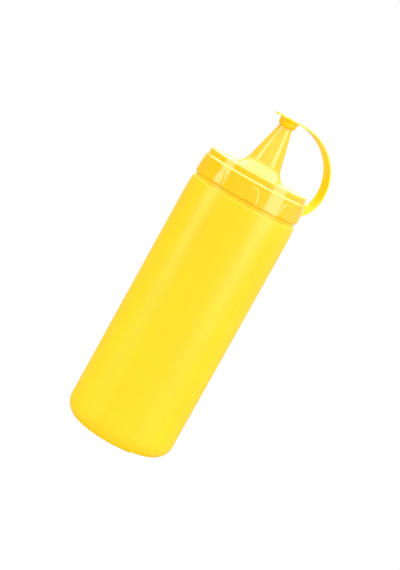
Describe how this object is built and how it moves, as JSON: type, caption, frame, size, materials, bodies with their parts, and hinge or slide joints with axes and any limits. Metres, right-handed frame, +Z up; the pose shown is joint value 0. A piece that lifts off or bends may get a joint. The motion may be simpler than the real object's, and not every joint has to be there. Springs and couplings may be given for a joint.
{
  "type": "sauce squeeze bottle",
  "caption": "Straight round squeeze bottle for sauce, with a wide screw cap, a tapering nozzle and a tip cap on a bowed strap",
  "frame": {"origin": "centre of the flat base that the bottle stands on", "axes": "+Z runs up the bottle's axis to the tip cap; -Y is the front; the strap stands out between +X and +Y, 35 degrees from +X"},
  "size_m": [0.0795, 0.0722, 0.2276],
  "materials": {
    "bottle_plastic": "satin, blow-moulded",
    "cap_plastic": "glossy, injection-moulded",
    "tether_plastic": "glossy, injection-moulded"
  },
  "bodies": {
    "root": {"bottle": "bottle_plastic", "screw_cap": "cap_plastic", "tip_cap": "tether_plastic"}
  },
  "joints": []
}
